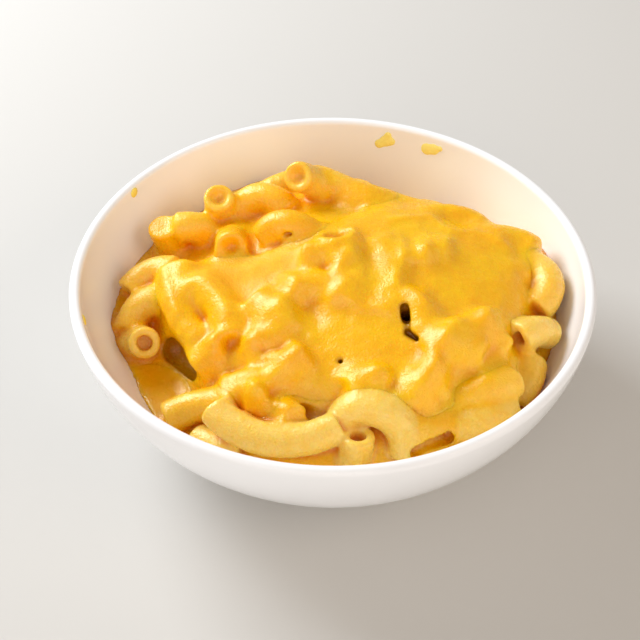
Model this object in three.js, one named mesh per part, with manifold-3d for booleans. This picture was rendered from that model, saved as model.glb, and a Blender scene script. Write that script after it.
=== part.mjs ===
// A round porcelain bowl of macaroni and cheese: elbow macaroni heaped in the bowl, a thick cheese
// sauce poured over the middle of the heap, and loose sauce pooled low at the left. Millimetres, +Z up,
// the origin under the middle of the bowl, -Y the front.

import * as THREE from "three";
import { mergeVertices } from "three/addons/utils/BufferGeometryUtils.js";
import Module from "manifold-3d";

const wasm = await Module();
wasm.setup();

// ---------------------------------------------------------------- driving dimensions

const gap = 0.3; // left between pieces that touch
const weldDistance = 1e-4; // vertices closer than this are one
const blockTop = 70; // above everything, for blocks that only trim others

const bowl = {
  rimRadius: 70,
  height: 46,
  wall: 3,
  lipDrop: 1.68, // from the top of the rim down to where the outer face begins
  footRadius: 36,
  footWidth: 3.5,
  footHeight: 2.4,
  footTaper: 0.5, // the foot's outer face leans in by this much at the bottom
  recess: 1.6, // how far the underside stands up inside the foot ring
  bellyPull: [68, 28, 55, 9], // the two handles of the wall's curve, each a radius and a height
  sides: 52,
  wallSteps: 8,
  rimSteps: 4,
};

const heap = {
  peak: 43.7, // height of the bare heap at the middle
  leanRight: 0.125, // the heap rises to the right
  leanBack: 0.11, // and to the back
  dome: 0.0043, // falls off with the square of the distance from the middle
  edgeFrom: 48, // radius from which the heap runs down to its height at the wall
  edgeTo: 63,
  cell: 5, // grid of the heap's surface
};

// How high the heap stands at the wall, every 20 degrees from the right by way of the back.
const wallHeights = [29, 34, 26, 25, 26, 27, 27, 28, 30.5, 28.5, 24, 12, 20, 23, 24, 22, 13, 21.5];

// Hollows in the heap: two at the front left, where the loose sauce gathers, and two at the back right.
const hollows = [
  { x: -44, y: -19, depth: 10.5, spread: 8.5 },
  { x: -41, y: -32, depth: 9, spread: 6 },
  { x: 16, y: 48, depth: 10.5, spread: 9.5 },
  { x: 33, y: 37, depth: 5, spread: 9 },
];
const poolLevel = 19; // height of the loose sauce's surface

const elbow = {
  radius: 4.3, // a cooked elbow with its coat of sauce
  bore: 1.9,
  boreDepth: 6,
  roundSides: 4, // pairs of sides
  steps: 6,
};

const blanket = {
  depth: 3, // sauce over the bare heap
  edgeDepth: 1.5,
  edgeWidth: 6, // over which the sauce thins towards its edge
  swellWidth: 1.5, // how much wider than an elbow its swelling in the sauce is
  swellJoin: 3, // higher keeps neighbouring swellings apart
  cell: 3,
};

// Elbows that show. x, y, z is the middle of each one's bend. It heads along turn and climbs by pitch.
// Roll says where the bend opens: 0 to its left, 90 down as an arch, 180 to its right, -90 up.
// Open ends have a bore: "a" is the end it comes from and "b" the end it heads to.
const showing = {
  //                x      y     z  turn pitch  roll bend sweep  open
  smile:       [  -15, -47.5, 31.5,  -10,    0,  -20,  24,   84, "a"],
  arch:        [   13, -42.5, 36.5,  -20,  -15,  115,   9,  175, ""],
  frontRing:   [    6, -48.5,   28, -158,  -76, -136,  25,   28, "a"],
  leftRing:    [  -50,  -7.5, 26.5,  100,  -40,    0,  14,   50, "a"],
  tallRing:    [  -32,  33.5, 38.5,    0,  -75, -145,  11,   70, "a"],
  leftStub:    [  -47,  26.5,   33,  -10,  -65, -125,  14,   50, ""],
  crownRing:   [ -6.8,  37.5, 46.8,   25,  -42,  180,  11,   70, "a"],
  backSlope:   [    5,  36.5,   43,  -22,  -14,   65,  30,   45, ""],
  backLobe:    [    9,  33.5,   42,    4,    6,   80,   7,  110, ""],
  bridge:      [-12.5,  18.5,   46,  -10,    5,   95, 7.5,  125, ""],
  leftBack:    [  -21,    36, 41.5,  -10,   15,  125,   8,  130, ""],
  leftCurl:    [  -39,  26.5,   38,   10,  -25,   72,   6,  100, ""],
  leftHump:    [-28.5,  19.5,   39,   87,  -32,  150,  30,   30, "a"],
  paleLeft:    [  -51,    12,   33,   15,   20,  165,  11,   80, ""],
  leftLow:     [  -53,   1.5,   30,   35,   30,  165,   8,   95, ""],
  lowerLeft:   [  -34, -32.5, 27.5,   -5,   20,  170,  20,   55, ""],
  bottomLeft:  [  -29, -43.5, 23.5,  -30,   10,   15,  20,   40, ""],
  innerEnd:    [-12.5, -37.5, 32.5,  110,  -24,  165,  20,   35, "a"],
  rightHook:   [   59,     6, 37.5,  -80,   -6,  160,   9,  130, ""],
  rightCurl:   [   54, -12.5, 35.8,   37,  -25,   97,  15,   50, "a"],
  lowRightA:   [   40, -34.5,   36,   22,   -8,   55,  14,   65, ""],
  lowRightB:   [   38,   -41,   32,   22,    0,   45,  14,   75, ""],
  rightEdge:   [ 51.5,   -24, 28.5, -114,  -22,  137,  13,   55, ""],
  frontRight:  [   24, -44.5, 30.5,   15,    0,    0,   8,   90, ""],
};

// Rings of further elbows, which fill the heap's edge wherever nothing else lies.
const filler = {
  rings: [33, 40, 48, 56],
  spacing: 8,
  fromElbows: 7.5, // least distance to an elbow already placed
  fromSauce: 3, // and to the poured sauce
  lifts: [1.5, 1.5, 1, -1], // of the bends over the bare heap, for each ring
  bend: 10,
  sweep: 115,
  turnStep: 0.618, // share of the range of headings and of rolls between one elbow and the next
  rollStep: 0.755,
  turnRange: [-50, 50], // from the line round the bowl
  rollRange: [40, 140],
};

// Elbows under the poured sauce, written the same way. Only their swelling shows.
const covered = {
  //                x      y     z  turn pitch  roll bend sweep
  leaf:        [  -41,  -4.5, 35.5,  -70,  -10,   20,  28,   50],
  nose:        [  -29,  -8.5, 38.5,  -60,    0,  135,  17,   65],
  middleRing:  [    3,   6.5, 45.5, -120,  -20,    0,  15,   35],
  paleBar:     [   -1,   3.5, 46.5,    5,    0,    0,  25,   32],
  rightOfMid:  [    6,  -4.5, 44.5,  -80,   -5,  170,   9,  100],
  dome:        [   -6,  -6.5, 44.5,   10,   10,   90,   7,   90],
  leftOfMid:   [  -16,   -15, 40.5,  -80,  -12,  160,  11,   90],
  lowMiddle:   [  -14,   -28, 36.5,   -5,   15,    0,  11,   75],
  lowLeft:     [  -32,   -20, 31.5,   10,   30,  150,  12,   40],
  smallFront:  [  -21, -31.5, 33.5,  -20,   20,  135,   8,   80],
  front:       [    9, -33.5, 37.5,   10,    5,  160,   7,   80],
  frontRight:  [   22, -34.5, 37.5,   45,   15,  150,  12,   55],
  rightFront:  [   31,   -24, 41.5,    5,   -5,  135,  10,   75],
  besidePit:   [   23,   -14, 43.5,  -60,  -10,  150,   7,  100],
  ridge:       [   16,  -2.5, 44.3,  -90,   -7,  170,  27,   55],
  rightOfBack: [   25,   6.5, 45.5,   30,    0,  170,   7,  100],
  rightHump:   [   41,   -17, 41.5,   10,  -20,  140,   7,  120],
  rightFold:   [   33,  26.5, 41.5,    0,   -8,  125,  11,   75],
  rightBack:   [   50,    19, 39.5,    0,  -10,  180,   7,  110],
  backFold:    [   22,  33.5,   38,  -30,    6,   60,  18,   60],
  backEdge:    [   32,  42.5, 27.8,  -40,   -5,  100,  14,   60],
  backHump:    [   47,  33.5,   27,  -55,    0,  110,  10,   80],
};

// The outline of the poured sauce, seen from above.
const blanketOutline = [
  [-46, 6], [-45, -5], [-40, -14], [-34, -22], [-25, -32], [-12, -35], [2, -35], [14, -38],
  [28, -42], [35, -36], [44, -30], [49, -13], [53, 0], [55, 9], [57, 20], [52, 32],
  [42, 45], [28, 53], [17, 53], [14, 43], [12, 30], [-4, 17], [-20, 10], [-34, 12],
];
const outlineSteps = 66;

// Sauce splashed on the inner wall: the angle round the bowl, how far down the wall's curve it sits,
// and its size round the wall, down the wall and out of it.
const splashes = {
  wideSmear: { angle: 76, down: 0.06, size: [7, 4.5, 1.2] },
  lowSmear: { angle: 64, down: 0.05, size: [7, 4, 1.2] },
  smallDrop: { angle: 148, down: 0.02, size: [2, 2, 1] },
  leftDrop: { angle: -166, down: 0.04, size: [2, 2.6, 1] },
};
const splashSides = 10;
const splashRings = 5;

// ---------------------------------------------------------------- solids and meshes

function toSolid(geometry) {
  const bare = geometry.clone();
  bare.deleteAttribute("normal");
  bare.deleteAttribute("uv");
  const welded = mergeVertices(bare, weldDistance);
  const corners = Array.from(welded.index.array);
  const kept = [];
  for (let i = 0; i < corners.length; i += 3) {
    const [a, b, c] = corners.slice(i, i + 3);
    if (a !== b && b !== c && c !== a) kept.push(a, b, c);
  }
  return new wasm.Manifold(new wasm.Mesh({
    numProp: 3,
    vertProperties: new Float32Array(welded.attributes.position.array),
    triVerts: new Uint32Array(kept),
  }));
}

function toMesh(name, solid, material) {
  const { vertProperties, triVerts } = solid.getMesh();
  const geometry = new THREE.BufferGeometry();
  geometry.setAttribute("position", new THREE.BufferAttribute(vertProperties, 3));
  geometry.setIndex(new THREE.BufferAttribute(triVerts, 1));
  geometry.computeVertexNormals();
  const mesh = new THREE.Mesh(geometry, material);
  mesh.name = name;
  return mesh;
}

function largest(solid) {
  const pieces = solid.decompose();
  return pieces.reduce((best, piece) => (piece.volume() > best.volume() ? piece : best));
}

// ---------------------------------------------------------------- the bowl's curves

const footTop = new THREE.Vector2(bowl.footRadius, bowl.footHeight);
const lipTop = new THREE.Vector2(bowl.rimRadius, bowl.height - bowl.lipDrop);
const wallCurve = new THREE.CubicBezierCurve(
  lipTop,
  new THREE.Vector2(bowl.bellyPull[0], bowl.bellyPull[1]),
  new THREE.Vector2(bowl.bellyPull[2], bowl.bellyPull[3]),
  footTop,
);

// A point of the wall, from 0 at the rim to 1 at the foot, set in from the outer face.
function wallPoint(down, inset) {
  const point = wallCurve.getPoint(down);
  const along = wallCurve.getTangent(down);
  return new THREE.Vector2(point.x + inset * along.y, point.y - inset * along.x);
}

function wallPoints(inset) {
  return Array.from({ length: bowl.wallSteps + 1 }, (_, i) => wallPoint(i / bowl.wallSteps, inset));
}

function lathe(profile) {
  return new THREE.LatheGeometry(profile, bowl.sides).rotateX(Math.PI / 2);
}

function rimPoints() {
  const outer = wallPoint(0, 0);
  const middle = wallPoint(0, bowl.wall / 2);
  const spoke = outer.clone().sub(middle);
  const points = [];
  for (let i = 1; i < bowl.rimSteps; i++) {
    points.push(spoke.clone().rotateAround(new THREE.Vector2(), Math.PI * i / bowl.rimSteps).add(middle));
  }
  return points;
}

function bowlSolid() {
  const inner = wallPoints(bowl.wall);
  const footInner = bowl.footRadius - bowl.footWidth;
  const profile = [
    new THREE.Vector2(0, bowl.recess),
    new THREE.Vector2(footInner, bowl.recess),
    new THREE.Vector2(footInner, 0),
    new THREE.Vector2(bowl.footRadius - bowl.footTaper, 0),
    ...wallPoints(0).reverse(),
    ...rimPoints(),
    ...inner,
    new THREE.Vector2(0, inner.at(-1).y),
  ];
  const shell = toSolid(lathe(profile));
  return wasm.Manifold.union([shell, ...Object.values(splashes).map(splashSolid)]);
}

function splashSolid({ angle, down, size }) {
  const seat = wallPoint(down, bowl.wall);
  const slope = wallCurve.getTangent(down);
  const blob = new THREE.SphereGeometry(0.5, splashSides, splashRings);
  blob.scale(size[2], size[0], size[1]);
  blob.rotateY(Math.atan2(slope.x, slope.y) + Math.PI);
  blob.translate(seat.x, 0, seat.y);
  blob.rotateZ(THREE.MathUtils.degToRad(angle));
  return toSolid(blob);
}

// The room inside the bowl, clear of its wall, up to well above the rim.
function cavitySolid() {
  const walls = wallPoints(bowl.wall + gap).reverse();
  return toSolid(lathe([
    new THREE.Vector2(0, walls[0].y),
    ...walls,
    new THREE.Vector2(walls.at(-1).x, blockTop),
    new THREE.Vector2(0, blockTop),
  ]));
}

// ---------------------------------------------------------------- the heap

function heightAtWall(x, y) {
  const places = wallHeights.length;
  const place = (Math.atan2(y, x) / (2 * Math.PI) * places + places) % places;
  const before = Math.floor(place);
  const share = THREE.MathUtils.smoothstep(place - before, 0, 1);
  return THREE.MathUtils.lerp(wallHeights[before], wallHeights[(before + 1) % places], share);
}

function heapTop(x, y) {
  const domed = heap.peak + heap.leanRight * x + heap.leanBack * y - heap.dome * (x * x + y * y);
  const atEdge = THREE.MathUtils.smoothstep(Math.hypot(x, y), heap.edgeFrom, heap.edgeTo);
  let height = THREE.MathUtils.lerp(domed, heightAtWall(x, y), atEdge);
  for (const hollow of hollows) {
    const near = ((x - hollow.x) ** 2 + (y - hollow.y) ** 2) / (2 * hollow.spread ** 2);
    height -= hollow.depth * Math.exp(-near);
  }
  return height;
}

// A block over the whole bowl whose top follows a height for each x and y.
function blockUnder(top, cell) {
  const width = 2 * bowl.rimRadius;
  const cells = Math.round(width / cell);
  const block = new THREE.BoxGeometry(width, width, 2, cells, cells, 1);
  const points = block.attributes.position;
  for (let i = 0; i < points.count; i++) {
    if (points.getZ(i) > 0) points.setZ(i, top(points.getX(i), points.getY(i)));
  }
  return toSolid(block);
}

// ---------------------------------------------------------------- elbows

class ElbowArc extends THREE.Curve {
  constructor(row, from = 0, to = 1) {
    super();
    const [x, y, z, turn, pitch, roll, bend, sweep] = row;
    const [turnAngle, pitchAngle, rollAngle] = [turn, pitch, roll].map(THREE.MathUtils.degToRad);
    this.middle = new THREE.Vector3(x, y, z);
    const climb = Math.tan(pitchAngle);
    this.along = new THREE.Vector3(Math.cos(turnAngle), Math.sin(turnAngle), climb).normalize();
    const side = new THREE.Vector3(-Math.sin(turnAngle), Math.cos(turnAngle), 0);
    const up = this.along.clone().cross(side);
    this.inward = side.multiplyScalar(Math.cos(rollAngle)).addScaledVector(up, -Math.sin(rollAngle));
    this.bend = bend;
    this.sweep = THREE.MathUtils.degToRad(sweep);
    this.from = from;
    this.to = to;
  }

  getPoint(t, target = new THREE.Vector3()) {
    const angle = this.sweep * (this.from + (this.to - this.from) * t - 0.5);
    return target.copy(this.middle)
      .addScaledVector(this.along, this.bend * Math.sin(angle))
      .addScaledVector(this.inward, this.bend * (1 - Math.cos(angle)));
  }
}

function tube(curve, radius, steps) {
  const section = new THREE.Shape().absarc(0, 0, radius, 0, 2 * Math.PI);
  return toSolid(new THREE.ExtrudeGeometry(section, {
    steps,
    curveSegments: elbow.roundSides,
    extrudePath: curve,
    bevelEnabled: false,
  }));
}

function boreSolid(row, end) {
  const length = row[6] * THREE.MathUtils.degToRad(row[7]);
  const share = elbow.boreDepth / length;
  const past = elbow.bore / length; // so that the cut runs out of the end
  const curve = end === "a" ? new ElbowArc(row, -past, share) : new ElbowArc(row, 1 - share, 1 + past);
  return tube(curve, elbow.bore, Math.ceil(elbow.steps / 3));
}

function elbowSolid(row) {
  const whole = tube(new ElbowArc(row), elbow.radius, elbow.steps);
  return Array.from(row[8]).reduce((solid, end) => solid.subtract(boreSolid(row, end)), whole);
}

// The elbows without bores and fatter by the gap, to cut what lies against them.
function elbowRoom(rows) {
  return wasm.Manifold.union(rows.map((row) => tube(new ElbowArc(row), elbow.radius + gap, elbow.steps)));
}

function fillerRow(x, y, lift, alongRing, count) {
  const turn = alongRing + THREE.MathUtils.lerp(...filler.turnRange, (count * filler.turnStep) % 1);
  const roll = THREE.MathUtils.lerp(...filler.rollRange, (count * filler.rollStep) % 1);
  return [x, y, heapTop(x, y) + lift, turn, 0, roll, filler.bend, filler.sweep, ""];
}

function fillerRows() {
  const rows = [];
  const taken = Object.values(showing).flatMap((row) => new ElbowArc(row).getPoints(elbow.steps));
  for (const [number, ring] of filler.rings.entries()) {
    const places = Math.floor(2 * Math.PI * ring / filler.spacing);
    for (let i = 0; i < places; i++) {
      const angle = 2 * Math.PI * i / places;
      const [x, y] = [ring * Math.cos(angle), ring * Math.sin(angle)];
      const crowded = taken.some((point) => Math.hypot(point.x - x, point.y - y) < filler.fromElbows);
      const underSauce = insideOutline(x, y) || distanceToOutline(x, y) < filler.fromSauce;
      const inPool = heapTop(x, y) < poolLevel + elbow.radius;
      if (crowded || underSauce || inPool) continue;
      const alongRing = THREE.MathUtils.radToDeg(angle) + 90;
      rows.push(fillerRow(x, y, filler.lifts[number], alongRing, rows.length));
      taken.push(...new ElbowArc(rows.at(-1)).getPoints(elbow.steps));
    }
  }
  return rows;
}

// ---------------------------------------------------------------- the poured sauce

const outlineCurve = new THREE.CatmullRomCurve3(
  blanketOutline.map(([x, y]) => new THREE.Vector3(x, y, 0)),
  true,
);
const outlineLoop = outlineCurve.getPoints(outlineSteps).slice(0, -1);
const outlinePoints = outlineLoop.map(({ x, y }) => new THREE.Vector2(x, y));

function distanceToOutline(x, y) {
  const here = new THREE.Vector3(x, y, 0);
  const nearest = new THREE.Vector3();
  const side = new THREE.Line3();
  const distances = outlinePoints.map((start, i) => {
    const end = outlinePoints[(i + 1) % outlinePoints.length];
    side.set(new THREE.Vector3(start.x, start.y, 0), new THREE.Vector3(end.x, end.y, 0));
    return side.closestPointToPoint(here, true, nearest).distanceTo(here);
  });
  return Math.min(...distances);
}

function insideOutline(x, y) {
  let inside = false;
  outlinePoints.forEach((start, i) => {
    const end = outlinePoints[(i + 1) % outlinePoints.length];
    const spans = (start.y > y) !== (end.y > y);
    if (spans && x < start.x + (y - start.y) * (end.x - start.x) / (end.y - start.y)) inside = !inside;
  });
  return inside;
}

const coveredPoints = Object.values(covered).map((row) => new ElbowArc(row).getPoints(2 * elbow.steps));

// How far the covered elbows lift the sauce at x, y over its poured height.
function swelling(x, y, poured) {
  const reach = elbow.radius * blanket.swellWidth;
  let joined = 0;
  for (const points of coveredPoints) {
    const away = points.map((point) => Math.hypot(x - point.x, y - point.y) / reach);
    const across = Math.min(...away);
    const rise = points[away.indexOf(across)].z + elbow.radius - poured;
    if (across < 1 && rise > 0) joined += (rise * (1 - across * across)) ** blanket.swellJoin;
  }
  return joined ** (1 / blanket.swellJoin);
}

function blanketTop(x, y) {
  const inwards = THREE.MathUtils.smoothstep(distanceToOutline(x, y), 0, blanket.edgeWidth);
  const poured = heapTop(x, y) + THREE.MathUtils.lerp(blanket.edgeDepth, blanket.depth, inwards);
  return poured + Math.sqrt(inwards) * swelling(x, y, poured);
}

function blanketSolid() {
  const outline = toSolid(new THREE.ExtrudeGeometry(new THREE.Shape(outlinePoints), {
    depth: blockTop,
    bevelEnabled: false,
  }));
  const poured = blockUnder(blanketTop, blanket.cell).intersect(outline);
  return poured.subtract(blockUnder((x, y) => heapTop(x, y) + gap, heap.cell));
}

// ---------------------------------------------------------------- the pieces

const cavity = cavitySolid();
const rows = [...Object.values(showing), ...fillerRows()];
const room = elbowRoom(rows);

const core = blockUnder(heapTop, heap.cell);
const macaroniSolid = wasm.Manifold.union([core, ...rows.map(elbowSolid)]).intersect(cavity);

const sauceSolid = blanketSolid().subtract(room).intersect(cavity);

const raisedHeap = blockUnder((x, y) => heapTop(x, y) + gap, heap.cell);
const poolBlock = blockUnder(() => poolLevel, bowl.rimRadius);
const poolSolid = poolBlock.subtract(raisedHeap).subtract(room).intersect(cavity);

const porcelain = new THREE.MeshStandardMaterial({ color: 0xf5f4f2, roughness: 0.12, metalness: 0 });
const pasta = new THREE.MeshStandardMaterial({ color: 0xf7c95c, roughness: 0.35, metalness: 0 });
const cheese = new THREE.MeshStandardMaterial({ color: 0xf3b209, roughness: 0.3, metalness: 0 });
const thinSauce = new THREE.MeshStandardMaterial({ color: 0xdf8d04, roughness: 0.25, metalness: 0 });

const group = new THREE.Group();
group.add(
  toMesh("bowl", bowlSolid(), porcelain),
  toMesh("macaroni", largest(macaroniSolid), pasta),
  toMesh("cheese_sauce", largest(sauceSolid), cheese),
  toMesh("sauce_pool", largest(poolSolid), thinSauce),
);

export default group;
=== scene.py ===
import math

import bpy
import numpy as np
import openvdb
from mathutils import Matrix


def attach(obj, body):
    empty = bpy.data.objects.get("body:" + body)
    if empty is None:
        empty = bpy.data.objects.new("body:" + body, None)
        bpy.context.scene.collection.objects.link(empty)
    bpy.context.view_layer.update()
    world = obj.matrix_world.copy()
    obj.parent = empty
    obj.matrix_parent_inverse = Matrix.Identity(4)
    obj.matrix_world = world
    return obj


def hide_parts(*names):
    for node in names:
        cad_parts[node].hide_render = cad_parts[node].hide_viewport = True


# Mac and cheese in a round white bowl. The elbows are bent tubes, melted together with the sauce in a
# block of voxels, and the block is meshed again. Shapes are worked out in millimetres and kept in metres.

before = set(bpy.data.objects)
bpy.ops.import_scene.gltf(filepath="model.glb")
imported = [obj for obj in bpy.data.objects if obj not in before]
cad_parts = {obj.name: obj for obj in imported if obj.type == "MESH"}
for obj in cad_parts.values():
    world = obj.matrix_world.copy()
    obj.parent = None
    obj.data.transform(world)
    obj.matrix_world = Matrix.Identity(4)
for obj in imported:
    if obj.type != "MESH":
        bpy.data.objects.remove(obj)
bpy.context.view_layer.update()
mm = 0.001


# ---- node helpers

def socketOf(sockets, key):
    inUse = [socket for socket in sockets if socket.enabled]
    return inUse[key] if isinstance(key, int) else next(s for s in inUse if s.name == key)


class Wire:  # an output socket that can stand in plain arithmetic
    def __init__(self, board, socket):
        self.board, self.socket = board, socket

    def __getitem__(self, key):  # another output of the same node
        return Wire(self.board, socketOf(self.socket.node.outputs, key))

    def isVector(self):
        return self.socket.type == "VECTOR"

    def combine(self, operation, left, right):
        vectors = [term for term in (left, right) if isinstance(term, Wire) and term.isVector()]
        if not vectors:
            return self.board.node("ShaderNodeMath", {"operation": operation}, {0: left, 1: right})
        if len(vectors) == 2:
            return self.board.node("ShaderNodeVectorMath", {"operation": operation}, {0: left, 1: right})
        number = right if left is vectors[0] else left
        return self.board.node("ShaderNodeVectorMath", {"operation": "SCALE"},
                               {"Vector": vectors[0], "Scale": number})

    def __add__(self, other):
        return self.combine("ADD", self, other)

    def __radd__(self, other):
        return self.combine("ADD", other, self)

    def __sub__(self, other):
        return self.combine("SUBTRACT", self, other)

    def __rsub__(self, other):
        return self.combine("SUBTRACT", other, self)

    def __mul__(self, other):
        return self.combine("MULTIPLY", self, other)

    def __rmul__(self, other):
        return self.combine("MULTIPLY", other, self)


class Board:  # a node tree that is being filled
    def __init__(self, tree):
        self.tree = tree

    def node(self, kind, settings=None, inputs=None):
        made = self.tree.nodes.new(kind)
        for name, value in (settings or {}).items():
            setattr(made, name, value)
        for key, value in (inputs or {}).items():
            socket = socketOf(made.inputs, key)
            if isinstance(value, Wire):
                self.tree.links.new(value.socket, socket)
            else:
                socket.default_value = value
        return Wire(self, socketOf(made.outputs, 0)) if made.outputs else None

    def maths(self, operation, *terms):
        return self.node("ShaderNodeMath", {"operation": operation}, dict(enumerate(terms)))

    def noise(self, where, scale, detail):
        return self.node("ShaderNodeTexNoise", inputs={"Vector": where, "Scale": scale, "Detail": detail})

    def blend(self, factor, first, second):  # of two colours
        return self.node("ShaderNodeMix", {"data_type": "RGBA"},
                         {"Factor": factor, "A": first, "B": second})

    def ranged(self, value, low, high, toLow=0.0, toHigh=1.0):
        return self.node("ShaderNodeMapRange", {"interpolation_type": "SMOOTHSTEP"},
                         {"Value": value, "From Min": low, "From Max": high,
                          "To Min": toLow, "To Max": toHigh})


def newTree(name, kinds):  # a Geometry Nodes tree, and its group input
    tree = bpy.data.node_groups.new(name, "GeometryNodeTree")
    for inputName, (kind, start) in kinds.items():
        socket = tree.interface.new_socket(inputName, in_out="INPUT", socket_type="NodeSocket" + kind)
        if start is not None:
            socket.default_value = start
    tree.interface.new_socket("Geometry", in_out="OUTPUT", socket_type="NodeSocketGeometry")
    board = Board(tree)
    return board, board.node("NodeGroupInput")


def settle(thing, modifier):  # a plain mesh in place of the modifier
    evaluated = thing.evaluated_get(bpy.context.evaluated_depsgraph_get())
    plain = bpy.data.meshes.new_from_object(evaluated)
    thing.modifiers.remove(modifier)
    thing.data = plain


def runTree(thing, tree, values):
    modifier = thing.modifiers.new(tree.name, "NODES")
    modifier.node_group = tree
    for item in tree.interface.items_tree:
        if item.in_out == "INPUT" and item.name in values:
            modifier[item.identifier] = values[item.name]
    settle(thing, modifier)
    return thing


def addObject(name, data):
    thing = bpy.data.objects.new(name, data)
    bpy.context.collection.objects.link(thing)
    return thing


def newMaterial(name):
    finish = bpy.data.materials.new(name)
    finish.use_nodes = True
    shader = finish.node_tree.nodes["Principled BSDF"]
    return finish, Board(finish.node_tree), shader


def feed(board, shader, links):  # sockets that vary over the surface
    for name, wire in links.items():
        board.tree.links.new(wire.socket, shader.inputs[name])


def srgb(*levels):  # linear colour of 0 to 255 levels
    shares = [level / 255 for level in levels]
    return (*(s / 12.92 if s <= 0.04045 else ((s + 0.055) / 1.055) ** 2.4 for s in shares), 1.0)


# ---- camera, lights and floor

shot = {"lens": 77.6, "sensorWidth": 36, "place": (0, -0.2743, 0.2923), "tilt": 46.0, "turn": 0.70}
lamps = {
    "key": {"place": (-0.50, 0.42, 0.47), "size": 0.42, "power": 7.2, "colour": (0.88, 0.94, 1.0)},
    "frontFill": {"place": (-0.15, -0.75, 0.28), "size": 0.8, "power": 3.0, "colour": (1.0, 0.97, 0.94)},
    "rightFill": {"place": (0.75, -0.38, 0.6), "size": 0.6, "power": 2.5, "colour": (1.0, 0.87, 0.74)},
}
room = {"skyColour": (1.0, 0.92, 0.84, 1.0), "skyStrength": 0.43, "floorSize": 1.6,
        "floorColour": srgb(207, 204, 199), "floorRoughness": 0.8}


def addCamera():
    camera = bpy.data.cameras.new("camera")
    camera.lens = shot["lens"]
    camera.sensor_width = shot["sensorWidth"]
    thing = addObject("camera", camera)
    thing.location = shot["place"]
    thing.rotation_euler = (math.radians(shot["tilt"]), 0, math.radians(shot["turn"]))
    bpy.context.scene.camera = thing


def addLamp(name, values):
    lamp = bpy.data.lights.new(name, "AREA")
    lamp.size = values["size"]
    lamp.energy = values["power"]
    lamp.color = values["colour"]
    thing = addObject(name, lamp)
    thing.location = values["place"]
    aim = -thing.location
    thing.rotation_euler = aim.to_track_quat("-Z", "Y").to_euler()


def addRoom():
    world = bpy.data.worlds.new("room")
    bpy.context.scene.world = world
    world.use_nodes = True
    sky = world.node_tree.nodes["Background"]
    sky.inputs["Color"].default_value = room["skyColour"]
    sky.inputs["Strength"].default_value = room["skyStrength"]
    half = room["floorSize"] / 2
    corners = [(-half, -half, 0), (half, -half, 0), (half, half, 0), (-half, half, 0)]
    mesh = bpy.data.meshes.new("floor")
    mesh.from_pydata(corners, [], [(0, 1, 2, 3)])
    floor = addObject("floor", mesh)
    finish, board, shader = newMaterial("floorPaint")
    shader.inputs["Base Color"].default_value = room["floorColour"]
    shader.inputs["Roughness"].default_value = room["floorRoughness"]
    mesh.materials.append(finish)


bpy.context.scene.view_settings.view_transform = "Standard"
addCamera()
for lampName, lampValues in lamps.items():
    addLamp(lampName, lampValues)
addRoom()
print("camera, lights and floor")


# ---- the bowl

bowl = {
    "rimRadius": 70, "height": 46, "wall": 3, "lipDrop": 1.68, "footRadius": 36, "footWidth": 3.5,
    "footHeight": 2.4, "footTaper": 0.5, "recess": 1.6, "bellyPull": ((68, 28), (55, 9)),
    "sides": 256, "wallSteps": 44, "rimSteps": 14, "footRound": 0.5, "footFlare": 0.1, "roundCut": 0.3,
    "floorRings": (0.9, 0.6, 0.3, 0), "fitSteps": 200,
}
glaze = {"light": srgb(250, 250, 252), "dark": srgb(245, 245, 246), "cloudScale": 38.0,
         "rippleScale": 150.0, "ripple": 0.00006, "rippleStrength": 0.15, "rough": (0.13, 0.2), "ior": 1.5}
wallHandles = np.array([(bowl["rimRadius"], bowl["height"] - bowl["lipDrop"]), *bowl["bellyPull"],
                        (bowl["footRadius"], bowl["footHeight"])], float)


def wallPoint(down, inset):  # radius and height, from 0 at the rim to 1 at the foot
    down = np.asarray(down, float)[..., None]
    up = 1 - down
    a, b, c, d = wallHandles
    point = a * up ** 3 + 3 * b * down * up ** 2 + 3 * c * down ** 2 * up + d * down ** 3
    along = (b - a) * up ** 2 + 2 * (c - b) * down * up + (d - c) * down ** 2
    along /= np.linalg.norm(along, axis=-1, keepdims=True)
    return point + inset * np.stack([along[..., 1], -along[..., 0]], axis=-1)


def arcPoints(middle, start, turn, steps):  # start is a spoke from the middle
    angles = np.radians(turn) * np.arange(1, steps) / steps
    cos, sin = np.cos(angles), np.sin(angles)
    return [(middle[0] + start[0] * c - start[1] * s, middle[1] + start[0] * s + start[1] * c)
            for c, s in zip(cos, sin)]


def bowlProfile():
    steps = np.linspace(0, 1, bowl["wallSteps"] + 1)
    outer, inner = wallPoint(steps, 0), wallPoint(steps, bowl["wall"])
    lip = wallPoint(0, bowl["wall"] / 2)
    inFoot = bowl["footRadius"] - bowl["footWidth"]
    outFoot = bowl["footRadius"] - bowl["footTaper"]
    recess, soft = bowl["recess"], bowl["footRound"]
    cut = soft * bowl["roundCut"]
    profile = [(0, recess), (inFoot / 2, recess), (inFoot - soft, recess)]
    profile += [(inFoot - cut, recess - cut), (inFoot, recess - soft)]
    profile += [(inFoot, soft), (inFoot + cut, cut), (inFoot + soft, 0)]
    profile += [(outFoot - soft, 0), (outFoot - cut, cut), (outFoot + bowl["footFlare"], soft)]
    profile += [tuple(p) for p in outer[::-1]]
    profile += arcPoints(lip, outer[0] - lip, 180, bowl["rimSteps"])
    profile += [tuple(p) for p in inner]
    floorHeight = inner[-1][1]
    profile += [(inner[-1][0] * share, floorHeight) for share in bowl["floorRings"]]
    return profile


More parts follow.
